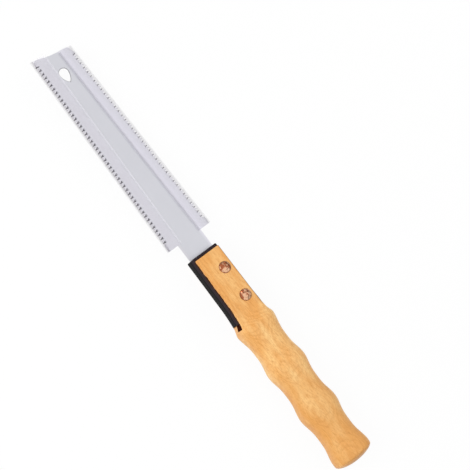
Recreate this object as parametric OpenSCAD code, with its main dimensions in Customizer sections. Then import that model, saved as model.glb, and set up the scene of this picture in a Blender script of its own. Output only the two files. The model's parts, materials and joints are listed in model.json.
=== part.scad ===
// Double-edged flush cut saw with clear tooth guards.
// It lies flat: +X towards the toe, +Y towards the fine teeth, +Z up.
// The working frame inside the modules has x = 0 at the front of the liners
// and z = 0 at the middle of the blade's thickness.

/* [Blade] */
// length from the toe, on the centre line, to the shoulders
blade_len = 149.6; // [120:1:180]
// width over the tooth tips at the toe
toe_w = 28; // [24:0.5:34]
// width over the tooth tips at the shoulders
heel_w = 34.5; // [30:0.5:40]
// thickness of the spring steel
blade_t = 0.7; // [0.4:0.05:1]
// how far the fine corner of the toe stands past the coarse corner
toe_slant = 4.8; // [0:0.2:8]
// rounding of the two toe corners
toe_corner_r = 2.2; // [1:0.1:4]
// how far each toe corner lies inside the line of the tooth tips
toe_relief = 1.5; // [0:0.1:2.5]
// depth of the shallow hollow in the toe's edge
toe_hollow = 0.8; // [0:0.1:1.5]
// width of the bare stem between the shoulders and the handle
stem_w = 19.2; // [16:0.2:22]
// length of the bare stem
stem_len = 13.1; // [8:0.1:24]
// width of the tang inside the handle
tang_w = 16; // [13:0.5:17]
// length of the tang inside the handle
tang_len = 45; // [42:0.5:47]
// radius of the round end of the hanging hole
hole_r = 3.3; // [2.5:0.1:4]
// distance from the hole's round centre to its point
hole_point = 7; // [5:0.1:9]
// distance from the toe to the hole's round centre
hole_toe = 15.2; // [12:0.2:22]
// offset of the hole towards the fine teeth
hole_offset = 0.4; // [0:0.1:2]

/* [Teeth] */
// fine teeth per inch
fine_tpi = 17; // [15:1:20]
// coarse teeth per inch
coarse_tpi = 14; // [12:1:15]
// depth of the fine teeth
fine_depth = 3; // [1.2:0.1:3.4]
// depth of the coarse teeth
coarse_depth = 2.5; // [1.2:0.1:3]
// slant of the fine gullets through the blade, left and right in turn
fine_fleam = 44; // [10:1:48]
// slant of the coarse gullets
coarse_fleam = 36; // [10:1:42]
// where the gullet bottom lies between two tips, so the teeth cut on the pull
gullet_at = 0.72; // [0.5:0.01:0.85]
// bare edge next to the shoulder
plain_heel = 5; // [3:0.5:10]
// bare edge next to the toe
plain_toe = 5; // [4.5:0.5:10]

/* [Tooth guards] */
// depth of the fine guard from its back to its lips
fine_guard_depth = 11.3; // [8:0.1:11.5]
// depth of the coarse guard from its back to its lips
coarse_guard_depth = 10.4; // [8:0.1:11.5]
// wall of a guard
guard_wall = 0.5; // [0.3:0.05:0.8]
// thickness of a guard's back
guard_back = 0.6; // [0.4:0.05:1]
// space between the tooth tips and a guard's back
guard_tip_gap = 0.4; // [0.2:0.05:0.8]
// space between the blade and each guard wall
guard_clear = 0.1; // [0.05:0.01:0.2]
// length of the flared lips
lip_flare = 1.4; // [0.6:0.1:2]
// how far the flared lips lean away from the blade
lip_rise = 0.5; // [0.1:0.05:0.7]

/* [Liners] */
// width over the liners at the front
liner_w = 19.4; // [19.3:0.1:22]
// extra half width that the liners gain evenly towards the rear
liner_taper = 0.4; // [0:0.1:0.8]
// extra half width where the liners flare at the rear
liner_flare = 0.9; // [0:0.1:1.2]
// length of the liners
liner_len = 51.1; // [48:0.1:54]
// height of a rim above the middle of the blade
liner_h = 7; // [6:0.1:7.4]
// thickness of the side rims
rim_t = 1.05; // [0.8:0.05:1.3]
// thickness of the front rim
front_rim_t = 2; // [1:0.1:2.4]
// height of a liner's floor above the middle of the blade
floor_top = 2.2; // [1.2:0.1:2.6]
// corner radius at the front
liner_corner_r = 0.8; // [0.3:0.1:1.2]
// gap of the seam between the two liners
seam = 0.1; // [0.04:0.02:0.2]

/* [Handle] */
// length from the front of the liners to the butt
handle_len = 166.9; // [164:0.1:172]
// thickness of the flat cheeks at the neck
neck_t = 17.4; // [16:0.1:19]
// width at the waists between the finger swells
waist_w = 24.6; // [23:0.1:26]
// how much narrower the last waist is
waist_fall = 1; // [0:0.1:2]
// width at the finger swells
swell_w = 28.2; // [27:0.1:30]
// thickness at the waists
waist_t = 19.2; // [18:0.1:20]
// thickness at the finger swells
swell_t = 21.4; // [20.4:0.1:23]
// distance from the front to the first swell
first_swell = 58.5; // [56:0.1:62]
// distance to the second swell
swell_pitch = 32.4; // [30:0.2:33]
// how much each later distance grows
swell_growth = 1.6; // [0.4:0.1:2]
// rounding length of the butt
butt_crown = 4.5; // [3:0.1:6]
// gap behind the ends of the liner rims
rim_gap = 0.4; // [0.2:0.1:2]
// how far the side rebates run past the upper liner
rebate_run_out = 4; // [2:0.1:5]
// how far the wood's lips stay inside the liners' outer sides
lip_inset = 0; // [0:0.05:0.8]
// how far the wood at the neck sits towards the coarse teeth
neck_shift = 0.2; // [0:0.05:0.3]
// how far the butt leans towards the fine teeth
butt_lean = 0.55; // [0:0.05:1]
// space between the wood and the liners
wood_clear = 0.1; // [0.05:0.01:0.2]

/* [Rivets] */
// distance from the front to the first rivet
front_rivet_at = 16.3; // [12:0.1:18]
// distance between the rivets
rivet_pitch = 22.1; // [19:0.1:24]
// offset of the rivets towards the coarse teeth
rivet_offset = 4; // [0:0.1:4.4]
// diameter of a rivet head
head_d = 8; // [7:0.1:9]
// height of a rivet head
head_h = 1.5; // [0.8:0.05:1.7]
// height of the straight rim under the dome
head_rim = 0.35; // [0.2:0.05:0.6]
// diameter of the rivet's tube
tube_d = 4.2; // [3.8:0.1:4.8]
// diameter of the rivet's solid post
post_d = 3; // [2.4:0.1:3.2]
// radial space between post and tube
post_clear = 0.03; // [0.02:0.01:0.06]
// radial space between tube and its holes
bore_clear = 0.08; // [0.05:0.01:0.15]

/* [Hidden] */
$fn = 64;
inch = 25.4;
neck_z = neck_t / 2;
lift = swell_t / 2;
shoulder_x = stem_len;
toe_x = stem_len + blade_len;
taper = atan((heel_w - toe_w) / 2 / blade_len);
fine_edge = (blade_len + toe_slant / 2) / cos(taper);
coarse_edge = (blade_len - toe_slant / 2) / cos(taper);
guard_slot = blade_t / 2 + guard_clear;
guard_out = guard_tip_gap + guard_back;
guard_r = guard_slot + guard_wall;
// share of a guard's half height that its rounded back takes
guard_round = 0.8;
guard_tip_x = shoulder_x + fine_edge * cos(taper) + guard_out * sin(taper);
mid_x = (guard_tip_x - handle_len) / 2;
tang_clear = 0.05;
stem_gap = 0.1;
hole_tuck = 0.97;
// how far back from the bare toe edge the run-in starts, so the last tooth stays below its neighbours
lead_back = 0.5;
// corner radii along the toe that its hollow leaves free, and the least hollow that still has an arc
hollow_trim = 3.2;
hollow_least = 0.01;
hollow_fn = 720;
fine_fn = 128;
flare_from = 0.7 * liner_len;
flare_steps = 6;
pocket_r = 0.3;
cheek_r = pocket_r + wood_clear;
wood_end = liner_len + rim_gap;
slot_z = floor_top + wood_clear;
lip_z = liner_h + wood_clear;
lip_root = 0.4;
rebate_floor = 0.9;
rebate_y = liner_half(liner_len) - rim_t - 2 * wood_clear;
// The file cuts past the tips and through the blade, and leaves each tooth one sharp point on one face.
file_over = 0.5;
point_over = 0.06;
// The grip is squarer at the neck, a little prouder than the cheeks, and rounds off behind them.
neck_step = 0.2;
neck_square = 4.5;
grip_square = 2.5;
square_run = 4;
neck_blend = 5;
lean_from = 85.3;
cheek_bury = 3;
swell_base = swell_pitch - swell_growth / 2;
flank = 11;
swell_power = 1.6;
ring_n = 32;
body_steps = 44;
crown_steps = 6;
crown_sweep = 84;
rivet_xs = [-front_rivet_at, -front_rivet_at - rivet_pitch];
tube_bore = post_d / 2 + post_clear;
hole_d = tube_d + 2 * bore_clear;
// The tube stops below the upper head, and the post above the bottom of the tube.
tube_short = 2;
tube_floor = 0.5;
post_short = 1;

function unit(v) = v / norm(v);

// Points of a fillet of radius r at corner p between its neighbours a and b.
function fillet(p, a, b, r, n = 8) =
    let (u = unit(a - p), w = unit(b - p), half = acos(u * w) / 2)
    let (c = p + unit(u + w) * r / sin(half), start = p + u * r / tan(half) - c)
    let (turn = (180 - 2 * half) * sign(u.x * w.y - u.y * w.x))
    let (a0 = atan2(start.y, start.x))
    [for (i = [0 : n]) c + r * [cos(a0 - turn * i / n), sin(a0 - turn * i / n)]];

// Half width of the liners at distance d behind their front.
function liner_half(d) =
    liner_w / 2 + liner_taper * d / liner_len
    + liner_flare * pow(max(0, d - flare_from) / (liner_len - flare_from), 2);

// Outline of the liners, or of a pocket inside them, inset on the sides and at the front.
function neck_outline(inset, front, rear, r) =
    let (side = [for (i = [0 : flare_steps])
                 let (d = flare_from + (rear - flare_from) * i / flare_steps)
                 [-d, liner_half(min(d, liner_len)) - inset]])
    let (tip = [-front, liner_half(front) - inset], tip_low = [tip.x, -tip.y])
    concat(fillet(tip, tip_low, side[0], r), side,
           [for (i = [flare_steps : -1 : 0]) [side[i].x, -side[i].y]],
           fillet(tip_low, [side[0].x, -side[0].y], tip, r));

// Count of finger swells passed at distance d: whole numbers are swells, halves are waists.
function swell_count(d) =
    d < first_swell ? (d - first_swell) / (2 * flank)
    : (-swell_base + sqrt(swell_base * swell_base + 2 * swell_growth * (d - first_swell)))
      / swell_growth;

function swell(d) = pow((1 + cos(360 * max(-0.5, swell_count(d)))) / 2, swell_power);

// Blend from 0 at d = a to 1 at d = b.
function ease(d, a, b) =
    let (t = min(1, max(0, (d - a) / (b - a)))) t * t * (3 - 2 * t);

// The grip starts as wide as the cheeks' lips and grows into the first swell.
function half_w(d) =
    let (waist = waist_w - waist_fall * max(0, swell_count(d)) / 3)
    let (neck = liner_half(liner_len) - lip_inset, blend = ease(d, liner_len - neck_blend, first_swell))
    neck * (1 - blend) + (waist + (swell_w - waist) * swell(d)) / 2 * blend;

// Sideways place of the grip's axis.
function lean(d) = (neck_shift + butt_lean) * ease(d, lean_from, handle_len) - neck_shift;

function half_t(d) =
    let (blend = ease(d, wood_end, first_swell))
    (neck_z + neck_step) * (1 - blend) + (waist_t + (swell_t - waist_t) * swell(d)) / 2 * blend;

function squareness(d) =
    neck_square + (grip_square - neck_square) * ease(d, wood_end, first_swell + square_run);

function power(v, e) = sign(v) * pow(abs(v), e);

// One ring of the grip at distance d, shrunk by f.
function grip_ring(d, f) =
    let (e = 2 / squareness(d))
    [for (i = [0 : ring_n - 1])
     let (a = 360 * (i + 0.5) / ring_n)
     [-d, lean(d) + f * half_w(d) * power(cos(a), e), f * half_t(d) * power(sin(a), e)]];

module placed() {
    translate([-mid_x, 0, lift])
        children();
}

// Puts children in the frame of a toothed edge: x along the tips, y outwards.
module edge_frame(side) {
    mirror([0, side < 0 ? 1 : 0, 0])
        translate([shoulder_x, heel_w / 2, 0])
            rotate([0, 0, -taper])
                children();
}

module blade_outline() {
    stem = stem_w / 2;
    tang = tang_w / 2;
    fine_heel = [shoulder_x, heel_w / 2];
    coarse_heel = [shoulder_x, -heel_w / 2];
    fine_run = [cos(taper), -sin(taper)];
    coarse_run = [cos(taper), sin(taper)];
    across = unit(fine_heel + fine_edge * fine_run - coarse_heel - coarse_edge * coarse_run);
    // Behind the last teeth, the edges run in to the toe corners.
    fine_lead = fine_heel + (fine_edge - plain_toe - lead_back) * fine_run;
    coarse_lead = coarse_heel + (coarse_edge - plain_toe - lead_back) * coarse_run;
    fine_toe = fine_heel + fine_edge * fine_run - toe_relief * across;
    coarse_toe = coarse_heel + coarse_edge * coarse_run + toe_relief * across;
    toe_run = fine_toe - coarse_toe;
    // The hollow is an arc between the rounded corners.
    hollow_w = norm(toe_run) - hollow_trim * toe_corner_r;
    hollow_r = (hollow_w * hollow_w / 4 + toe_hollow * toe_hollow) / (2 * max(toe_hollow, hollow_least));
    difference() {
        polygon(concat(
            [[stem_gap, -stem], [shoulder_x, -stem], coarse_heel, coarse_lead],
            fillet(coarse_toe, coarse_lead, fine_toe, toe_corner_r),
            fillet(fine_toe, coarse_toe, fine_lead, toe_corner_r),
            [fine_lead, fine_heel, [shoulder_x, stem], [stem_gap, stem]],
            [[stem_gap, tang], [-tang_len, tang], [-tang_len, -tang], [stem_gap, -tang]]));
        translate((fine_toe + coarse_toe) / 2 + unit([toe_run.y, -toe_run.x]) * (hollow_r - toe_hollow))
            circle(r = hollow_r, $fn = hollow_fn);
    }
}

module hanging_hole() {
    // Two large arcs meet at the point. They start just inside the round end, so the outlines cross cleanly.
    root = hole_tuck * hole_r;
    side_r = (hole_point * hole_point + root * root) / (2 * root);
    translate([toe_x - hole_toe, hole_offset]) {
        circle(r = hole_r);
        intersection() {
            translate([0, root - side_r])
                circle(r = side_r, $fn = fine_fn);
            translate([0, side_r - root])
                circle(r = side_r, $fn = fine_fn);
            translate([-2 * hole_point, -hole_r])
                square([2 * hole_point, 2 * hole_r]);
        }
    }
}

// A row of filed gullets from x = start, each slanted the other way from the last.
module gullets(tpi, depth, fleam, start, edge) {
    pitch = inch / tpi;
    count = floor((edge - start - plain_toe) / pitch);
    width = pitch + blade_t * tan(fleam) + point_over;
    grow = 1 + file_over / depth;
    low = gullet_at * width;
    file_len = 3 * blade_t / cos(fleam) + 1;
    for (i = [0 : count - 1])
        translate([start + i * pitch + pitch / 2, 0, 0])
            rotate([0, i % 2 == 0 ? fleam : -fleam, 0])
                linear_extrude(height = file_len, center = true)
                    polygon([for (p = [[low, -depth],
                                       [low + (width - low) * grow, file_over],
                                       [low - low * grow, file_over]])
                             [(p.x - width / 2) * cos(fleam), p.y]]);
}

module rivet_holes(h) {
    for (x = rivet_xs)
        translate([x, -rivet_offset, 0])
            cylinder(d = hole_d, h = h, center = true);
}

module blade() {
    color([0.84, 0.84, 0.88])
    placed()
    difference() {
        translate([0, 0, -blade_t / 2])
            linear_extrude(height = blade_t)
                difference() {
                    blade_outline();
                    hanging_hole();
                }
        edge_frame(1)
            gullets(fine_tpi, fine_depth, fine_fleam, plain_heel, fine_edge);
        edge_frame(-1)
            gullets(coarse_tpi, coarse_depth, coarse_fleam, plain_heel, coarse_edge);
        rivet_holes(4 * blade_t);
    }
}

// A U-shaped strip with flared lips over one toothed edge.
module tooth_guard(side, edge, depth) {
    lip = guard_out - depth;
    bend = lip + lip_flare;
    edge_frame(side)
        rotate([90, 0, 90])
            linear_extrude(height = edge)
                difference() {
                    flared_strip(lip, bend, guard_out, guard_r);
                    flared_strip(lip - lip_flare, bend, guard_tip_gap, guard_slot);
                }
}

// A strip of half height h from bend to far, rounded at far.
// It leans open by the lips' slope from bend to near.
module flared_strip(near, bend, far, h) {
    open = h + (bend - near) * lip_rise / lip_flare;
    polygon(concat(
        [[near, open], [bend, h]],
        fillet([far, h], [bend, h], [far, -h], guard_round * h),
        fillet([far, -h], [far, h], [bend, -h], guard_round * h),
        [[bend, -h], [near, -open]]));
}

module fine_guard() {
    color([0.88, 0.88, 0.95, 0.45])
    placed()
    tooth_guard(1, fine_edge, fine_guard_depth);
}

module coarse_guard() {
    color([0.88, 0.88, 0.95, 0.45])
    placed()
    tooth_guard(-1, coarse_edge, coarse_guard_depth);
}

// The carved grip behind the neck, lofted through rings.
module grip() {
    body_end = handle_len - butt_crown;
    stations = concat(
        [for (i = [0 : body_steps])
         [wood_end + (body_end - wood_end) * i / body_steps, 1]],
        [for (i = [1 : crown_steps])
         let (a = crown_sweep * i / crown_steps)
         [body_end + butt_crown * sin(a) / sin(crown_sweep), cos(a)]]);
    rings = [for (s = stations) each grip_ring(s[0], s[1])];
    last = len(stations) - 1;
    sides = [for (j = [0 : last - 1]) for (i = [0 : ring_n - 1])
             let (k = (i + 1) % ring_n, a = j * ring_n, b = (j + 1) * ring_n)
             each [[a + i, a + k, b + k], [a + i, b + k, b + i]]];
    polyhedron(rings, concat(
        sides,
        [[for (i = [ring_n - 1 : -1 : 0]) i]],
        [[for (i = [0 : ring_n - 1]) last * ring_n + i]]));
}

function cheek_outline(inset) =
    neck_outline(inset, front_rim_t + wood_clear, wood_end + cheek_bury, cheek_r);

// Cheeks inside the liner rims, with lips over the rims, and the grip behind them.
module handle() {
    color([0.93, 0.71, 0.44])
    placed()
    difference() {
        union() {
            grip();
            linear_extrude(height = 2 * (lip_z + lip_root), center = true)
                polygon(cheek_outline(rim_t + wood_clear));
            for (side = [0, 1])
                mirror([0, 0, side])
                    translate([0, -neck_shift, lip_z])
                        linear_extrude(height = neck_z - lip_z)
                            polygon(cheek_outline(lip_inset));
        }
        translate([-wood_end, -swell_w, -slot_z])
            cube([wood_end + 1, 2 * swell_w, 2 * slot_z]);
        // The rebates for the upper rims run out behind the liner's end.
        for (side = [0, 1])
            mirror([0, side, 0])
                translate([-liner_len - rebate_run_out, rebate_y, rebate_floor])
                    cube([rebate_run_out, swell_w, lip_z - rebate_floor]);
        rivet_holes(2 * neck_t);
    }
}

// One moulded half of the liner: a floor on the tang and a rim around the wood.
module half_liner() {
    difference() {
        translate([0, 0, seam / 2])
            linear_extrude(height = liner_h - seam / 2)
                polygon(neck_outline(0, 0, liner_len, liner_corner_r));
        translate([0, 0, floor_top])
            linear_extrude(height = liner_h)
                polygon(neck_outline(rim_t, front_rim_t, wood_end + cheek_bury, pocket_r));
        translate([-tang_len - tang_clear, -tang_w / 2 - tang_clear, -blade_t])
            cube([tang_len + front_rim_t, tang_w + 2 * tang_clear, 1.5 * blade_t + tang_clear]);
        rivet_holes(4 * liner_h);
    }
}

module upper_liner() {
    color([0.12, 0.12, 0.14])
    placed()
    half_liner();
}

module lower_liner() {
    color([0.12, 0.12, 0.14])
    placed()
    mirror([0, 0, 1])
        half_liner();
}

// A domed head standing on z = 0.
module rivet_head() {
    dome = head_h - head_rim;
    ball = (head_d * head_d / 4 + dome * dome) / (2 * dome);
    intersection() {
        translate([0, 0, head_h - ball])
            sphere(r = ball, $fn = fine_fn);
        cylinder(d = head_d, h = head_h + 1);
    }
}

// The solid half of a rivet, with its head on the upper cheek.
module rivet_post(x) {
    translate([x, -rivet_offset, 0]) {
        translate([0, 0, neck_z])
            rivet_head();
        translate([0, 0, post_short - neck_z])
            cylinder(d = post_d, h = neck_t - post_short + head_rim);
    }
}

// The tubular half of a rivet, with its head on the lower cheek.
module rivet_cap(x) {
    translate([x, -rivet_offset, 0])
        difference() {
            union() {
                translate([0, 0, -neck_z])
                    mirror([0, 0, 1])
                        rivet_head();
                translate([0, 0, -neck_z - head_rim / 2])
                    cylinder(d = tube_d, h = neck_t - tube_short);
            }
            translate([0, 0, tube_floor - neck_z])
                cylinder(r = tube_bore, h = 2 * neck_t);
        }
}

module front_rivet_post() {
    color([0.8, 0.54, 0.38])
    placed()
    rivet_post(rivet_xs[0]);
}

module front_rivet_cap() {
    color([0.8, 0.54, 0.38])
    placed()
    rivet_cap(rivet_xs[0]);
}

module rear_rivet_post() {
    color([0.8, 0.54, 0.38])
    placed()
    rivet_post(rivet_xs[1]);
}

module rear_rivet_cap() {
    color([0.8, 0.54, 0.38])
    placed()
    rivet_cap(rivet_xs[1]);
}

blade();
fine_guard();
coarse_guard();
handle();
upper_liner();
lower_liner();
front_rivet_post();
front_rivet_cap();
rear_rivet_post();
rear_rivet_cap();
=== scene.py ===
import json
import math

import bmesh
import bpy
from mathutils import Matrix, Vector

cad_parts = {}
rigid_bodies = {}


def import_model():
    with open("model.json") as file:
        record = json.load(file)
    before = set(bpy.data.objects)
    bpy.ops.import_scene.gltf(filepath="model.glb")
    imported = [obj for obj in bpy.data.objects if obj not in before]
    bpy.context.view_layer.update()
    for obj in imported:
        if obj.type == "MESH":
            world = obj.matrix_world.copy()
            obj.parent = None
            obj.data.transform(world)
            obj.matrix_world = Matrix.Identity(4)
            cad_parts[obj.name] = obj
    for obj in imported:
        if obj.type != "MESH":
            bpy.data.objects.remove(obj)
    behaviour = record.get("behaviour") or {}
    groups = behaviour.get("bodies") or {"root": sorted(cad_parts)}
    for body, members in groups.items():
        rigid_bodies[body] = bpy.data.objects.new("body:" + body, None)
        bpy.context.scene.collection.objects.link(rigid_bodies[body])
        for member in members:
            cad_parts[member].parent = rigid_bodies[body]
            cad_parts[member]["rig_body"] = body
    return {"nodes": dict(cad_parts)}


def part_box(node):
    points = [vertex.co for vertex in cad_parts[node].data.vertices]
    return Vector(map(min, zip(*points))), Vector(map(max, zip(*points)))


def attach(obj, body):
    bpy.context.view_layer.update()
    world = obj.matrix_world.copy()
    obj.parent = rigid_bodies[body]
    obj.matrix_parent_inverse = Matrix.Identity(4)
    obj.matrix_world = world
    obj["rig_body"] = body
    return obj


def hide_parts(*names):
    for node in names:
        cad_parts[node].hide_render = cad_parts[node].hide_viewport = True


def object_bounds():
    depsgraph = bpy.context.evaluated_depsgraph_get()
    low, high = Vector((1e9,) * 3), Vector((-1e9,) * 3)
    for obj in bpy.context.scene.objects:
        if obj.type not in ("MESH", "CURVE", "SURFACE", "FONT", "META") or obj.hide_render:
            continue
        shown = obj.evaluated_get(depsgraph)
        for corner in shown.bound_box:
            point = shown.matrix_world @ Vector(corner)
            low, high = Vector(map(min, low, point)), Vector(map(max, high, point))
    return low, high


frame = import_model()
cad_low, cad_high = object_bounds()
nodes = frame["nodes"]

MM = 0.001
# Points of a mesh that are nearer than this many millimetres become one.
MERGE = 0.001

# The frame's own places: the front of the liners and the middle of the blade's thickness.
FRONT_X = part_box("upper_liner")[1].x
MID_Z = (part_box("blade")[0].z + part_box("blade")[1].z) / 2

# The blade and its guards, in millimetres.
STEM_LEN = 13.1
BLADE_LEN = 149.6
HEEL_HALF = 17.25
TOE_HALF = 14
HOLE_AT = 147.5
HOLE_Y = 0.4
HOLE_REACH = 8
HOLE_BEVEL = 0.4
FINE_LIP = 8.9
COARSE_LIP = 7.75

# Sizes that the wood shares with the liners, in millimetres.
LINER_W = 19.4
LINER_TAPER = 0.4
LINER_FLARE = 0.9
LINER_LEN = 51.1
FLARE_FROM = 0.7 * LINER_LEN
LIP_Z = 7.1
SLOT_Z = 2.3
WOOD_FRONT = 2.1
WOOD_END = LINER_LEN + 0.4
REBATE_END = LINER_LEN + 4
REBATE_FLOOR = 0.9
RIM_T = 1.15
WOOD_CLEAR = 0.05
LINER_ROUND = 0.18

# The carved grip, in millimetres.
HANDLE_LEN = 166.9
NECK_T = 17.4
NECK_BLEND = 5
NECK_SHIFT = 0.2
BUTT_LEAN = 0.55
LEAN_FROM = 85.3
WAIST_W = 24.6
WAIST_FALL = 1
SWELL_W = 28.2
WAIST_T = 19.2
SWELL_T = 21.3
FIRST_SWELL = 58.5
SWELL_PITCH = 32.4
SWELL_GROWTH = 1.6
LAST_SWELL = 3
FLANK = 11
SWELL_POWER = 1.6
BUTT_CROWN = 4.5
GRIP_SQUARE = 2.5
NECK_SQUARE = 24
LOWER_SQUARE = 6
FRONT_ROUND = 0.5

# Where the flat cheeks start to turn into the grip, and where they have become it.
WIDEN_FROM = LINER_LEN - NECK_BLEND
THICKEN_FROM = LINER_LEN - 3
ROUND_FROM = LINER_LEN - 8
ROUND_TO = FIRST_SWELL + 5
LOWER_FROM = LINER_LEN - 11

# The hand-sanded edge of the cheeks, in millimetres: two waves, each with a depth, a pace and a start,
# and one nick. The waves come in behind the front and settle before the grip.
WAVES = ((0.10, 0.55, 1), (0.06, 1.7, 0))
NICK_AT = 15.2
NICK_DEPTH = 0.35
NICK_HALF = 0.9
WAVES_FROM = 2
WAVES_FULL = 6
SETTLE_FROM = LINER_LEN - 6

# The rivets, in millimetres.
RIVET_AT = (16.3, 38.4)
RIVET_Y = -4
HEAD_R = 4
HEAD_H = 1.5
HEAD_RIM = 0.35
HEAD_ROUND = 0.12
STAINED_RIM = 0.3
BORE_R = 2.18
POST_R = 1.5
POST_END = 1 - NECK_T / 2
TUBE_R = 2.1
TUBE_BORE = 1.53
TUBE_END = 6.52
TUBE_FLOOR = 0.5 - NECK_T / 2


class Wire:
    """One output of a shader node. Arithmetic with it adds Math nodes."""

    def __init__(self, shader, socket):
        self.shader = shader
        self.socket = socket

    def maths(self, operation, first, second):
        return self.shader.node("ShaderNodeMath", {"operation": operation}, {0: first, 1: second})

    def __add__(self, other):
        return self.maths("ADD", self, other)

    __radd__ = __add__

    def __sub__(self, other):
        return self.maths("SUBTRACT", self, other)

    def __rsub__(self, other):
        return self.maths("SUBTRACT", other, self)

    def __mul__(self, other):
        return self.maths("MULTIPLY", self, other)

    __rmul__ = __mul__

    def __truediv__(self, other):
        return self.maths("DIVIDE", self, other)

    def __pow__(self, other):
        return self.maths("POWER", self, other)


class Shader:
    """A node tree that is filled by one method."""

    def __init__(self, tree):
        self.tree = tree
        tree.nodes.clear()

    def node(self, kind, settings=None, inputs=None, output=0):
        """Adds a node, sets it up, feeds its sockets and returns one of its outputs."""
        made = self.tree.nodes.new(kind)
        for name, value in (settings or {}).items():
            if name == "stops":
                self.set_stops(made.color_ramp, value)
            else:
                setattr(made, name, value)
        for name, value in (inputs or {}).items():
            if isinstance(value, Wire):
                self.tree.links.new(value.socket, made.inputs[name])
            else:
                made.inputs[name].default_value = value
        return Wire(self, made.outputs[output]) if made.outputs else None

    @staticmethod
    def set_stops(ramp, stops):
        while len(ramp.elements) < len(stops):
            ramp.elements.new(0.5)
        for element, (place, level) in zip(ramp.elements, stops):
            element.position = place
            element.color = (level, level, level, 1)

    def others(self, wire, *names):
        """Other outputs of the node that a wire comes from."""
        return [Wire(self, wire.socket.node.outputs[name]) for name in names]

    def absolute(self, value):
        return self.node("ShaderNodeMath", {"operation": "ABSOLUTE"}, {0: value})

    def fade(self, value, none, full):
        """A mask that is 0 where a value is at none, 1 where it is at full, and straight between."""
        return self.node("ShaderNodeMapRange", {}, {0: value, 1: none, 2: full})

    def ramp(self, value, *stops):
        return self.node("ShaderNodeValToRGB", {"stops": stops}, {"Fac": value})

    def mix(self, factor, first, second):
        """Mixes two colours."""
        inputs = {"Factor": factor, 6: first, 7: second}
        return self.node("ShaderNodeMix", {"data_type": "RGBA"}, inputs, output=2)

    def millimetres(self, scale=(1, 1, 1), centre=(0, 0, 0), turn=0.0):
        """Object coordinates in millimetres from a centre, turned about Z and then stretched."""
        coords = self.node("ShaderNodeTexCoord", output="Object")
        inputs = {
            "Vector": coords,
            "Location": tuple(c * MM for c in centre),
            "Rotation": (0, 0, math.radians(turn)),
            "Scale": tuple(MM / s for s in scale),
        }
        return self.node("ShaderNodeMapping", {"vector_type": "TEXTURE"}, inputs)

    def axes(self):
        """A point's places along, across and above the floor, in millimetres."""
        along = self.node("ShaderNodeSeparateXYZ", {}, {0: self.millimetres()})
        return [along] + self.others(along, 1, 2)

    def inside_teeth(self):
        """The distance of a point inside the line of the tooth tips, in millimetres."""
        along, across = self.axes()[:2]
        slope = (HEEL_HALF - TOE_HALF) / BLADE_LEN
        return HEEL_HALF + (FRONT_X / MM + STEM_LEN) * slope - along * slope - self.absolute(across)

    def noise(self, vector, detail=2.0, roughness=0.5):
        inputs = {"Vector": vector, "Scale": 1.0, "Detail": detail, "Roughness": roughness}
        return self.node("ShaderNodeTexNoise", {}, inputs)

    def bump(self, height, distance):
        """A bump of some millimetres."""
        inputs = {"Height": height, "Distance": distance * MM, "Strength": 1.0}
        return self.node("ShaderNodeBump", {}, inputs)

    def surface(self, inputs):
        skin = self.node("ShaderNodeBsdfPrincipled", {}, inputs)
        self.node("ShaderNodeOutputMaterial", {}, {"Surface": skin})


def finish(name):
    """A new material and the shader that fills it."""
    material = bpy.data.materials.new(name)
    material.use_nodes = True
    return material, Shader(material.node_tree)


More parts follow.
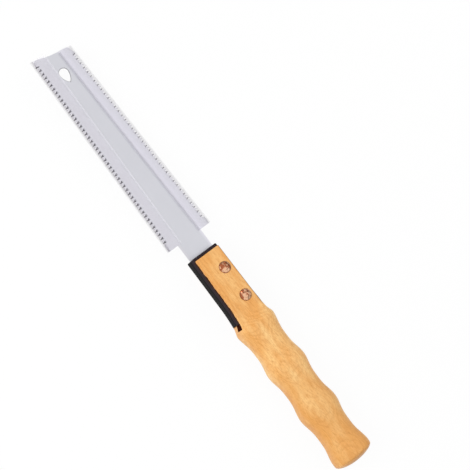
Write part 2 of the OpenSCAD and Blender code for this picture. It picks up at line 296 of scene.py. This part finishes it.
def beech_finish():
    """Satin lacquered beech with growth rings that the swells cut open, and flecks along the grain."""
    material, wood = finish("beech")
    light = (0.96, 0.61, 0.245, 1)
    golden = (0.835, 0.405, 0.108, 1)
    late = (0.66, 0.27, 0.055, 1)
    fleck_brown = (0.50, 0.19, 0.045, 1)
    butt_shade_brown = (0.60, 0.28, 0.07, 1)
    edge_shade_brown = (0.09, 0.055, 0.04, 1)
    along, across, up = wood.axes()
    behind = FRONT_X / MM - along

    # Rings round a pith that lies below and beside the handle, on a trunk that tapers.
    pith_y, pith_z = -5, -30
    trunk_taper = 0.012
    ring_wander = 1.6
    ring_pitch = 0.5
    warp = wood.noise(wood.millimetres((0.02, 0.09, 0.09)), detail=2)
    side = across - pith_y
    rise = up - pith_z
    radius = (side * side + rise * rise) ** 0.5 + along * trunk_taper + warp * ring_wander
    ring = wood.node("ShaderNodeMath", {"operation": "FRACT"}, {0: radius / ring_pitch})
    line = wood.ramp(ring, (0, 0.1), (0.45, 0.0), (0.80, 0.8), (0.90, 1.0), (1.0, 0.1))

    cloud = wood.noise(wood.millimetres((0.05, 0.16, 0.16), (40, 9, 4)), detail=3)
    fleck_place = wood.millimetres((0.30, 1.5, 1.5), (90, 5, 3), turn=6)
    fleck = wood.fade(wood.noise(fleck_place, detail=3, roughness=0.6), 0.48, 0.68)
    pore_place = wood.millimetres((0.9, 5, 5), (20, 7, 8), turn=4)
    pore = wood.fade(wood.noise(pore_place, detail=1), 0.52, 0.70)

    # The wood is palest between the first two swells.
    pale_at = -80
    gilding = 0.0025
    away = wood.absolute(along - pale_at)
    tone = wood.mix(wood.fade(cloud + away * gilding, 0.36, 0.72), light, golden)
    tone = wood.mix(line * (cloud * 0.9 - 0.1), tone, late)
    tone = wood.mix(fleck * 0.6, tone, late)
    tone = wood.mix(pore * 0.34, tone, fleck_brown)
    # The rear half of the grip is painted a little darker, as painted shade where the light falls off
    # toward the butt.
    butt_shade = wood.fade(behind, 92, 110)
    tone = wood.mix(butt_shade * 0.16, tone, butt_shade_brown)
    # The side edges of the cheeks are darker, and the coarse side has painted shade, as if the light
    # came from the fine side.
    neck = wood.fade(behind, 50, 42)
    darkening = wood.fade(wood.absolute(across), 8.4, 10) * neck
    shade = wood.fade(across, 1, -9) * neck
    tone = wood.mix(darkening * 0.45 + shade * 0.2, tone, late)
    # Painted shade runs along the top edge of the upper cheek on the coarse side, where the cheek meets
    # the liner's rim.
    inward = across + behind * LINER_TAPER / LINER_LEN + LINER_W / 2 + NECK_SHIFT
    top = wood.fade(up - MID_Z / MM, 8.1, 8.3)
    edge_shade = wood.fade(inward, 0.75, 0.2) * top * wood.fade(behind, 50.5, 47.5)
    tone = wood.mix(edge_shade * 0.8, tone, edge_shade_brown)

    relief = fleck * -0.5 + pore * -0.5 + line * -0.2
    wood.surface(
        {
            "Base Color": tone,
            "Roughness": 0.42 + fleck * 0.12 + pore * 0.08,
            "Coat Weight": 0.10 - pore * 0.05,
            "Coat Roughness": 0.32,
            "Normal": wood.bump(relief, 0.05),
        }
    )
    return material


def kerf_finish():
    """Raw beech inside the slot and the rebates, painted dark red-brown as the deep shade in these
    recesses.
    """
    material, wood = finish("shaded_kerf")
    kerf_dark = (0.030, 0.007, 0.004, 1)
    kerf_brown = (0.11, 0.026, 0.010, 1)
    stroke = wood.noise(wood.millimetres((0.4, 0.4, 5)), detail=3)
    wood.surface(
        {
            "Base Color": wood.mix(stroke, kerf_dark, kerf_brown),
            "Roughness": 0.75 + stroke * 0.2,
            "Specular IOR Level": 0.1,
            "Normal": wood.bump(stroke, 0.1),
        }
    )
    return material


def steel_finish():
    """Spring steel, ground across the blade in fine strokes, with a paler band along each edge."""
    material, steel = finish("ground_steel")
    pale = (0.82, 0.82, 0.872, 1)
    grey = (0.735, 0.74, 0.798, 1)
    fine_band = (0.81, 0.80, 0.85, 1)
    coarse_band = (0.875, 0.864, 0.937, 1)
    coarse_worn = (0.81, 0.805, 0.855, 1)
    inside = steel.inside_teeth()
    across = steel.axes()[1]
    stroke = steel.noise(steel.millimetres((7, 0.2, 7)), detail=3, roughness=0.6)
    haze = steel.noise(steel.millimetres((0.05, 0.09, 0.09), (60, 10, 4)), detail=3)
    # The coarse band is worn next to its teeth.
    coarse = steel.mix(steel.fade(inside, 6.4, 2), coarse_band, coarse_worn)
    # The coarse band is painted lighter than the fine band, as painted light falling across the blade.
    edge_band = steel.mix(steel.fade(across, -2, 2), coarse, fine_band)
    tone = steel.mix(stroke * 0.4 + haze * 0.4, pale, grey)
    tone = steel.mix(steel.fade(inside, 9.8, 8.6), tone, edge_band)
    steel.surface(
        {
            "Base Color": tone,
            "Metallic": 1.0,
            "Roughness": 0.24 + stroke * 0.14 + haze * 0.08,
            "Normal": steel.bump(stroke, 0.004),
        }
    )
    return material


def filed_finish(name, deep, worn):
    """Filed steel on tooth flanks and the rim of the hole, with file strokes, painted dark as a painted
    reflection of dark surroundings.
    """
    material, steel = finish(name)
    stroke = steel.noise(steel.millimetres((3, 3, 12)), detail=2)
    steel.surface(
        {
            "Base Color": steel.mix(stroke, deep, worn),
            "Metallic": 0.3,
            "Roughness": 0.5 + stroke * 0.2,
            "Specular IOR Level": 0.1,
            "Normal": steel.bump(stroke, 0.01),
        }
    )
    return material


def clear_finish(name, lip_at, lip_tint, darkening):
    """Clear soft plastic with streaks along the strip. Its folded back and its lips show more."""
    material, clear = finish(name)
    wall = (0.90, 0.87, 1.0, 1)
    folded = (0.32, 0.29, 0.34, 1)
    inside = clear.inside_teeth()
    streak = clear.noise(clear.millimetres((0.04, 0.8, 0.8)), detail=2)
    fold = clear.fade(inside, -0.8, -1.4)
    back = clear.fade(inside, 2, 0.4)
    lip = clear.fade(inside, lip_at - 0.1, lip_at + 0.3)
    # Painted shadow where the tooth tips sit in the fold.
    painted_shade = clear.fade(inside, 0, 0.4) * clear.fade(inside, 1.6, 1) * darkening
    tone = clear.mix(back, wall, folded)
    tone = clear.mix(lip, tone, lip_tint)
    haze = 0.06 + back * 0.03 + fold * 0.07 + painted_shade + lip * 0.06
    clear.surface(
        {
            "Base Color": tone,
            "Roughness": 0.12 + streak * 0.10,
            "Alpha": haze * (0.8 + streak * 0.4),
            "IOR": 1.46,
        }
    )
    return material


def black_finish(name, deep, worn):
    """Satin moulded plastic with rub marks, painted shade along the seam in the middle and reddish
    painted shade near the top, from the wood's bounced light.
    """
    material, plastic = finish(name)
    bounce_shade_brown = (0.052, 0.018, 0.006, 1)
    seam_shade_black = (0.004, 0.004, 0.005, 1)
    along, across, up = plastic.axes()
    height = up - MID_Z / MM
    seam = plastic.fade(plastic.absolute(height), 0.9, 0.3)
    # The front rim has none of the reddish painted shade.
    painted_shade = plastic.fade(height, 4, 6.4) * plastic.fade(FRONT_X / MM - along, 2, 3)
    grain = plastic.noise(plastic.millimetres((6, 6, 6)), detail=2)
    rub_place = plastic.millimetres((0.25, 1.6, 1.6), (8, 3, 5))
    rub = plastic.fade(plastic.noise(rub_place, detail=4), 0.52, 0.75)
    tone = plastic.mix(rub * 0.8 + grain * 0.2, deep, worn)
    tone = plastic.mix(painted_shade * 0.85, tone, bounce_shade_brown)
    tone = plastic.mix(seam * 0.8, tone, seam_shade_black)
    plastic.surface(
        {
            "Base Color": tone,
            "Roughness": 0.5 + grain * 0.2 - rub * 0.1,
            "Specular IOR Level": 0.0,
            "Coat Weight": 0.05 + grain * 0.06 + rub * 0.04,
            "Coat Roughness": 0.38,
            "Normal": plastic.bump(grain, 0.02),
        }
    )
    return material


def copper_finish(name, bright, dark_patch, dents):
    """Copper with soft hammer marks and brown patches, partly stains and partly painted reflections of
    dark surroundings.
    """
    material, copper = finish(name)
    dent = copper.noise(copper.millimetres((0.36, 0.36, 0.36), (3, 2, 0)), detail=1)
    stain_and_reflection = copper.noise(copper.millimetres((0.45, 0.45, 0.45), (11, 5, 2)), detail=2)
    copper.surface(
        {
            "Base Color": copper.mix(copper.fade(stain_and_reflection, 0.465, 0.55), bright, dark_patch),
            "Metallic": 1.0,
            "Roughness": 0.10 + stain_and_reflection * 0.12,
            "Normal": copper.bump(dent, dents),
        }
    )
    return material


def ease(value, low, high):
    t = min(1, max(0, (value - low) / (high - low)))
    return t * t * (3 - 2 * t)


def liner_half(d):
    """Half width of the liners at distance d behind their front."""
    bend = max(0, min(d, LINER_LEN) - FLARE_FROM) / (LINER_LEN - FLARE_FROM)
    return LINER_W / 2 + LINER_TAPER * min(d, LINER_LEN) / LINER_LEN + LINER_FLARE * bend ** 2


def swell_count(d):
    """Finger swells passed at distance d: whole numbers are swells, halves are waists."""
    if d < FIRST_SWELL:
        return (d - FIRST_SWELL) / (2 * FLANK)
    base = SWELL_PITCH - SWELL_GROWTH / 2
    return (math.sqrt(base ** 2 + 2 * SWELL_GROWTH * (d - FIRST_SWELL)) - base) / SWELL_GROWTH


def swell(d):
    return ((1 + math.cos(2 * math.pi * max(-0.5, swell_count(d)))) / 2) ** SWELL_POWER


def lean(d):
    """Sideways place of the grip's axis at distance d."""
    return (NECK_SHIFT + BUTT_LEAN) * ease(d, LEAN_FROM, HANDLE_LEN) - NECK_SHIFT


def grip_size(d):
    """Half width, half thickness and the squareness of the upper and lower wood at distance d."""
    waist = WAIST_W - WAIST_FALL * max(0, swell_count(d)) / LAST_SWELL
    carved_w = (waist + (SWELL_W - waist) * swell(d)) / 2
    carved_t = (WAIST_T + (SWELL_T - WAIST_T) * swell(d)) / 2
    neck_w = liner_half(d)
    half_w = neck_w + (carved_w - neck_w) * ease(d, WIDEN_FROM, FIRST_SWELL)
    half_t = NECK_T / 2 + (carved_t - NECK_T / 2) * ease(d, THICKEN_FROM, FIRST_SWELL)
    round_blend = ease(d, ROUND_FROM, ROUND_TO)
    upper = 1 / NECK_SQUARE + (1 / GRIP_SQUARE - 1 / NECK_SQUARE) * round_blend
    # The lower edges of the cheeks are rounded over, and the round runs out before the grip.
    lower = upper + (1 / LOWER_SQUARE - 1 / NECK_SQUARE) * (1 - ease(d, LOWER_FROM, LINER_LEN))
    # The front edge of the cheeks is rounded over.
    short = max(0, WOOD_FRONT + FRONT_ROUND - d)
    trim = FRONT_ROUND - math.sqrt(max(0, FRONT_ROUND ** 2 - short ** 2))
    return half_w - trim, half_t - trim, 1 / upper, 1 / lower


def uneven(d):
    """How far the hand-sanded edge of the cheek wanders. It is straight at both ends."""
    wander = sum(depth * math.sin(pace * d + start) for depth, pace, start in WAVES)
    nick = NICK_DEPTH * math.exp(-((d - NICK_AT) / NICK_HALF) ** 2)
    share = ease(d, WAVES_FROM, WAVES_FULL) * (1 - ease(d, SETTLE_FROM, LINER_LEN))
    return (wander - nick) * share


def at(d, y, z):
    """A point in the frame, d millimetres behind the liners' front."""
    return Vector((FRONT_X - d * MM, y * MM, MID_Z + z * MM))


def from_front(point):
    """A point's distance behind the liners' front, its sideways place and its height, in millimetres."""
    return (FRONT_X - point.x) / MM, point.y / MM, (point.z - MID_Z) / MM


def power(value, exponent):
    return math.copysign(abs(value) ** exponent, value)


def mapped_grid(columns, rows, place):
    """A grid whose corner in column i and row j is moved to place(i, j)."""
    mesh = bmesh.new()
    bmesh.ops.create_grid(mesh, x_segments=columns, y_segments=rows, size=0.5)
    for vert in mesh.verts:
        i = round((vert.co.x + 0.5) * columns)
        j = round((vert.co.y + 0.5) * rows)
        vert.co = place(i, j)
    return mesh


def close(mesh):
    """Merges the seam, fills the open ends and turns the faces outwards."""
    bmesh.ops.remove_doubles(mesh, verts=mesh.verts, dist=MERGE * MM)
    edges = [edge for edge in mesh.edges if edge.is_boundary]
    bmesh.ops.holes_fill(mesh, edges=edges, sides=0)
    bmesh.ops.recalc_face_normals(mesh, faces=mesh.faces)
    return mesh


def box(low, high):
    """A box between two corners of the frame."""
    mesh = bmesh.new()
    bmesh.ops.create_cube(mesh, size=1)
    bmesh.ops.scale(mesh, vec=[abs(h - l) for l, h in zip(low, high)], verts=mesh.verts)
    bmesh.ops.translate(mesh, vec=(low + high) / 2, verts=mesh.verts)
    return mesh


def loose_object(name, mesh):
    data = bpy.data.meshes.new(name)
    mesh.to_mesh(data)
    mesh.free()
    obj = bpy.data.objects.new(name, data)
    bpy.context.scene.collection.objects.link(obj)
    return obj


def combine(mesh, other, operation):
    """The union or difference of two closed meshes."""
    pair = [loose_object("work", mesh), loose_object("tool", other)]
    modifier = pair[0].modifiers.new("combine", "BOOLEAN")
    modifier.object = pair[1]
    modifier.operation = operation
    modifier.solver = "EXACT"
    result = bmesh.new()
    result.from_object(pair[0], bpy.context.evaluated_depsgraph_get())
    for obj in pair:
        data = obj.data
        bpy.data.objects.remove(obj)
        bpy.data.meshes.remove(data)
    return result


def smooth_by_angle(mesh, degrees=32, broad=12):
    """Smooths the curved skin. Faces broader than some square millimetres stay flat."""
    for face in mesh.faces:
        face.smooth = face.calc_area() < broad * MM ** 2
    for edge in mesh.edges:
        edge.smooth = len(edge.link_faces) == 2 and edge.calc_face_angle() < math.radians(degrees)


def round_edges(mesh, edges, width, segments=2):
    """Rounds some edges of a mesh."""
    bmesh.ops.bevel(
        mesh,
        geom=edges,
        offset=width * MM,
        affect="EDGES",
        segments=segments,
        profile=0.5,
        material=-1,
        clamp_overlap=True,
    )


def sharp_edges(mesh, degrees=40):
    limit = math.radians(degrees)
    return [e for e in mesh.edges if len(e.link_faces) == 2 and e.calc_face_angle() > limit]


def piece(name, mesh, node, slot, *materials):
    """Finishes a mesh as the piece that stands in for a CAD node."""
    smooth_by_angle(mesh)
    obj = loose_object(name, mesh)
    for material in materials:
        obj.data.materials.append(material)
    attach(obj, nodes[node]["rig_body"])
    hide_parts(node)
    return obj


def cad_copy(node):
    """A CAD node's mesh with its loose triangles merged into whole faces."""
    mesh = bmesh.new()
    mesh.from_mesh(nodes[node].data)
    bmesh.ops.remove_doubles(mesh, verts=mesh.verts, dist=MERGE * MM)
    bmesh.ops.dissolve_limit(mesh, angle_limit=math.radians(0.5), verts=mesh.verts, edges=mesh.edges)
    for face in mesh.faces:
        face.material_index = 0
    return mesh


def handle_loft():
    """The outside of the wood from the cheeks to the butt."""
    ring = 96
    edge_share = 0.9
    body_end = HANDLE_LEN - BUTT_CROWN
    crown_turn = math.radians(88)
    front_steps, neck_steps, grip_steps, crown_steps = 5, 72, 150, 14
    neck_from = WOOD_FRONT + FRONT_ROUND
    stations = [(WOOD_FRONT + FRONT_ROUND * i / front_steps, 1) for i in range(front_steps)]
    neck_run = (ROUND_FROM - neck_from) / neck_steps
    grip_run = (body_end - ROUND_FROM) / grip_steps
    stations += [(neck_from + neck_run * i, 1) for i in range(neck_steps)]
    stations += [(ROUND_FROM + grip_run * i, 1) for i in range(grip_steps + 1)]
    for i in range(1, crown_steps + 1):
        angle = crown_turn * i / crown_steps
        stations.append((body_end + BUTT_CROWN * math.sin(angle), math.cos(angle)))

    def place(i, j):
        d, shrink = stations[i]
        half_w, half_t, upper, lower = grip_size(d)
        turn = 2 * math.pi * j / ring
        square = upper if 2 * j <= ring else lower
        y = shrink * half_w * power(math.cos(turn), 2 / square)
        z = shrink * half_t * power(math.sin(turn), 2 / square)
        if y > 0:
            y += uneven(d) * ease(y / half_w, edge_share, 1)
        return at(d, lean(d) + y, z)

    return close(mapped_grid(len(stations) - 1, ring, place))


def cheek_core(side):
    """The wood between the rims of one liner."""
    steps = 24
    # It runs a little into the wood behind it and outside it, so that they join.
    bury, root = 3, 0.4
    rear = WOOD_END + bury
    height = LIP_Z + root - SLOT_Z

    def place(i, j):
        d = WOOD_FRONT + (rear - WOOD_FRONT) * i / steps
        return at(d, (2 * j - 1) * (liner_half(d) - RIM_T), side * SLOT_Z)

    mesh = mapped_grid(steps, 1, place)
    made = bmesh.ops.extrude_face_region(mesh, geom=mesh.faces[:])
    top = [g for g in made["geom"] if isinstance(g, bmesh.types.BMVert)]
    bmesh.ops.translate(mesh, vec=(0, 0, side * height * MM), verts=top)
    bmesh.ops.recalc_face_normals(mesh, faces=mesh.faces)
    return mesh


def rivet_bore(d):
    """A round bar where a rivet passes through the wood."""
    bore = bmesh.new()
    radius = BORE_R * MM
    bmesh.ops.create_cone(
        bore, cap_ends=True, segments=48, radius1=radius, radius2=radius, depth=2 * NECK_T * MM
    )
    bmesh.ops.translate(bore, vec=at(d, RIVET_Y, 0), verts=bore.verts)
    return bore


def handle_piece(wood_finish, slot_finish):
    """The wood: cheeks over the liners, the slot, the rebates, the rivet bores and the carved grip."""
    wood = handle_loft()
    far = SWELL_W
    ahead = -5
    wood = combine(wood, box(at(ahead, -far, -LIP_Z), at(WOOD_END, far, LIP_Z)), "DIFFERENCE")
    for side in (1, -1):
        wood = combine(wood, cheek_core(side), "UNION")
    wood = combine(wood, box(at(ahead, -far, -SLOT_Z), at(WOOD_END, far, SLOT_Z)), "DIFFERENCE")
    rebate_y = liner_half(LINER_LEN) - RIM_T - 2 * WOOD_CLEAR
    for side in (1, -1):
        rebate = box(at(LINER_LEN, side * rebate_y, REBATE_FLOOR), at(REBATE_END, side * far, LIP_Z))
        wood = combine(wood, rebate, "DIFFERENCE")
    for d in RIVET_AT:
        wood = combine(wood, rivet_bore(d), "DIFFERENCE")
    near = 0.01
    for face in wood.faces:
        d, y, z = from_front(face.calc_center_median())
        in_slot = d < WOOD_END + near and abs(z) < SLOT_Z + near
        in_rebate = (
            LINER_LEN < d < REBATE_END + near
            and abs(y) > rebate_y - near
            and REBATE_FLOOR - near < z < LIP_Z + near
        )
        face.material_index = 1 if in_slot or in_rebate else 0
    return piece("beech_handle", wood, "handle", "beech", wood_finish, slot_finish)


def near_hole(point):
    d, y = from_front(point)[:2]
    return math.hypot(-d - HOLE_AT, y - HOLE_Y) < HOLE_REACH


def blade_piece(flat_finish, fine_finish, coarse_finish, rim_finish):
    """The steel plate, with flanks on its teeth painted dark and a softened rim at the hanging hole
    painted grey, as painted reflections.
    """
    upright, level = 0.1, 0.95
    mesh = cad_copy("blade")
    for face in mesh.faces:
        if upright < abs(face.normal.z) < level:
            face.material_index = 1 if face.calc_center_median().y > 0 else 2
    edges = sharp_edges(mesh, degrees=60)
    rim = [edge for edge in edges if near_hole((edge.verts[0].co + edge.verts[1].co) / 2)]
    round_edges(mesh, rim, HOLE_BEVEL)
    for face in mesh.faces:
        if near_hole(face.calc_center_median()) and abs(face.normal.z) < level:
            face.material_index = 3
    finishes = (flat_finish, fine_finish, coarse_finish, rim_finish)
    return piece("blade_plate", mesh, "blade", "blade_steel", *finishes)


def guard_piece(node, material):
    """A clear strip over one toothed edge."""
    return piece(node + "_strip", cad_copy(node), node, "clear_plastic", material)


def liner_piece(node, material):
    """A black tray with rounded edges."""
    mesh = cad_copy(node)
    round_edges(mesh, sharp_edges(mesh), LINER_ROUND)
    return piece(node + "_tray", mesh, node, "black_plastic", material)


def rivet_head_profile(base, side):
    """Points of a domed head that stands on z = base, from its axis outwards."""
    steps = 14
    dome = HEAD_H - HEAD_RIM
    ball = (HEAD_R ** 2 + dome ** 2) / (2 * dome)
    sweep = math.asin(HEAD_R / ball)
    points = []
    for i in range(steps + 1):
        angle = sweep * i / steps
        points.append((ball * math.sin(angle), HEAD_H - ball + ball * math.cos(angle)))
    points.append((HEAD_R, 0.0))
    return [(r, base + side * z) for r, z in points]


def rivet_piece(node, d, side, shank, head_finish, rim_finish):
    """One half of a rivet, spun round its own axis. The shank is a list of its outline's points."""
    mesh = bmesh.new()
    base = side * NECK_T / 2
    profile = rivet_head_profile(base, side) + [(shank[0][0], base)] + shank
    verts = [mesh.verts.new(at(d, RIVET_Y + r, z)) for r, z in profile]
    edges = [mesh.edges.new(pair) for pair in zip(verts, verts[1:])]
    axis_at = at(d, RIVET_Y, 0)
    bmesh.ops.spin(
        mesh,
        geom=verts + edges,
        cent=axis_at,
        axis=(0, 0, 1),
        angle=2 * math.pi,
        steps=64,
        use_merge=True,
    )
    bmesh.ops.remove_doubles(mesh, verts=mesh.verts, dist=MERGE * MM)
    bmesh.ops.recalc_face_normals(mesh, faces=mesh.faces)
    round_edges(mesh, sharp_edges(mesh), HEAD_ROUND, segments=3)
    # The rim of the head is stained.
    for face in mesh.faces:
        reach = (face.calc_center_median() - axis_at).to_2d().length / MM
        face.material_index = 1 if reach > HEAD_R - STAINED_RIM else 0
    return piece(node + "_turned", mesh, node, "copper", head_finish, rim_finish)


def studio_floor():
    """A plain white floor that shows white to the camera and keeps a faint shadow."""
    half_size = 6
    gap = 0.02
    white_share = 0.94
    mesh = bmesh.new()
    bmesh.ops.create_grid(mesh, x_segments=1, y_segments=1, size=half_size)
    floor = loose_object("floor", mesh)
    floor.location.z = cad_low.z - gap * MM
    material, paint = finish("floor_white")
    seen = paint.node("ShaderNodeLightPath", output="Is Camera Ray")
    glossy, through = paint.others(seen, "Is Glossy Ray", "Is Transmission Ray")
    shade = paint.node("ShaderNodeBsdfDiffuse", {}, {"Color": (0.9, 0.9, 0.9, 1)})
    white = paint.node("ShaderNodeEmission", {}, {"Color": (1, 1, 1, 1), "Strength": 1.0})
    factor = (seen + glossy + through) * white_share
    blend = paint.node("ShaderNodeMixShader", {}, {0: factor, 1: shade, 2: white})
    paint.node("ShaderNodeOutputMaterial", {}, {"Surface": blend})
    floor.data.materials.append(material)


def studio_sky():
    """A soft overhead dome that darkens to the horizon."""
    dome_strength = 0.872
    spark_strength = 5
    spark_at = (0.633, 0.112, 0.766)
    world = bpy.data.worlds.new("studio")
    bpy.context.scene.world = world
    world.use_nodes = True
    sky = Shader(world.node_tree)
    coords = sky.node("ShaderNodeTexCoord", output="Generated")
    height = sky.node("ShaderNodeSeparateXYZ", {}, {0: coords}, output=2)
    level = sky.ramp(height, (0.0, 0.20), (0.30, 0.30), (0.62, 0.70), (0.86, 1.0))
    # One small bright spot gives the rivets their sparkle.
    inputs = {0: coords, 1: spark_at}
    facing = sky.node("ShaderNodeVectorMath", {"operation": "DOT_PRODUCT"}, inputs, output="Value")
    strength = dome_strength + sky.fade(facing, 0.996, 0.9985) * spark_strength
    back = sky.node("ShaderNodeBackground", {}, {"Color": level, "Strength": strength})
    sky.node("ShaderNodeOutputWorld", {}, {"Surface": back})


def studio_lamp(name, place, energy):
    """A large soft lamp, placed in metres and aimed at the saw. Reflections don't show it."""
    lamp = bpy.data.lights.new(name, "AREA")
    lamp.shape = "RECTANGLE"
    lamp.size = 0.9
    lamp.size_y = 0.6
    lamp.energy = energy
    obj = bpy.data.objects.new(name, lamp)
    bpy.context.scene.collection.objects.link(obj)
    obj.location = place
    obj.visible_glossy = False
    aim = Vector((0, 0, MID_Z)) - obj.location
    obj.rotation_euler = aim.to_track_quat("-Z", "Y").to_euler()


def camera():
    """Looks down on the saw from its fine side, rolled so that the toe is at the upper left."""
    lens = 135
    azimuth = math.radians(93.9)
    elevation = math.radians(68.1)
    roll = math.radians(49.2)
    distance = 1.152
    aim = Vector((-2.45 * MM, -26.6 * MM, MID_Z))
    away = Vector(
        (
            math.cos(azimuth) * math.cos(elevation),
            math.sin(azimuth) * math.cos(elevation),
            math.sin(elevation),
        )
    )
    data = bpy.data.cameras.new("camera")
    data.lens = lens
    data.sensor_width = 36
    data.clip_end = 50
    obj = bpy.data.objects.new("camera", data)
    bpy.context.scene.collection.objects.link(obj)
    turn = (-away).to_track_quat("-Z", "Y").to_matrix().to_4x4()
    obj.matrix_world = Matrix.Translation(aim + away * distance) @ turn @ Matrix.Rotation(roll, 4, "Z")
    bpy.context.scene.camera = obj


bpy.context.scene.view_settings.view_transform = "Standard"
camera()
studio_floor()
studio_sky()
studio_lamp("window", place=(0.2, 0.8, 0.68), energy=6.6)
studio_lamp("fill", place=(0.1, -0.85, 0.5), energy=2.6)

# The tooth flanks and the rim of the hole are painted dark as painted reflections.
fine_flanks = filed_finish("fine_teeth", deep=(0.010, 0.009, 0.011, 1), worn=(0.04, 0.037, 0.042, 1))
coarse_flanks = filed_finish("coarse_teeth", deep=(0.10, 0.09, 0.105, 1), worn=(0.24, 0.22, 0.25, 1))
hole_rim = filed_finish("hole_rim", deep=(0.22, 0.215, 0.23, 1), worn=(0.36, 0.355, 0.38, 1))
blade_piece(steel_finish(), fine_flanks, coarse_flanks, hole_rim)

# Both guards are one plastic: the fine guard's lips are painted with a highlight and the coarse guard's
# lips with shade.
lit_lip = (0.93, 0.91, 0.97, 1)
shaded_lip = (0.38, 0.37, 0.46, 1)
guard_piece("fine_guard", clear_finish("clear_plastic_fine", FINE_LIP, lit_lip, darkening=0.11))
guard_piece("coarse_guard", clear_finish("clear_plastic_coarse", COARSE_LIP, shaded_lip, darkening=0.0))

handle_piece(beech_finish(), kerf_finish())

# One black plastic in two copies: the upper tray is painted lighter, as lit from above, and the lower
# one darker, as painted shade.
lit_upper_black = black_finish(
    "black_plastic_upper", deep=(0.027, 0.019, 0.023, 1), worn=(0.044, 0.033, 0.039, 1)
)
shaded_lower_black = black_finish(
    "black_plastic_lower", deep=(0.018, 0.017, 0.017, 1), worn=(0.030, 0.029, 0.029, 1)
)
liner_piece("upper_liner", lit_upper_black)
liner_piece("lower_liner", shaded_lower_black)

head = copper_finish(
    "copper", bright=(0.98, 0.58, 0.36, 1), dark_patch=(0.50, 0.15, 0.065, 1), dents=1.1
)
rim = copper_finish(
    "stained_copper", bright=(0.55, 0.19, 0.08, 1), dark_patch=(0.26, 0.07, 0.03, 1), dents=0.3
)
post = [(POST_R, POST_END), (0, POST_END)]
tube = [(TUBE_R, TUBE_END), (TUBE_BORE, TUBE_END), (TUBE_BORE, TUBE_FLOOR), (0, TUBE_FLOOR)]
for end, d in zip(("front", "rear"), RIVET_AT):
    rivet_piece(end + "_rivet_post", d, 1, post, head, rim)
    rivet_piece(end + "_rivet_cap", d, -1, tube, head, rim)
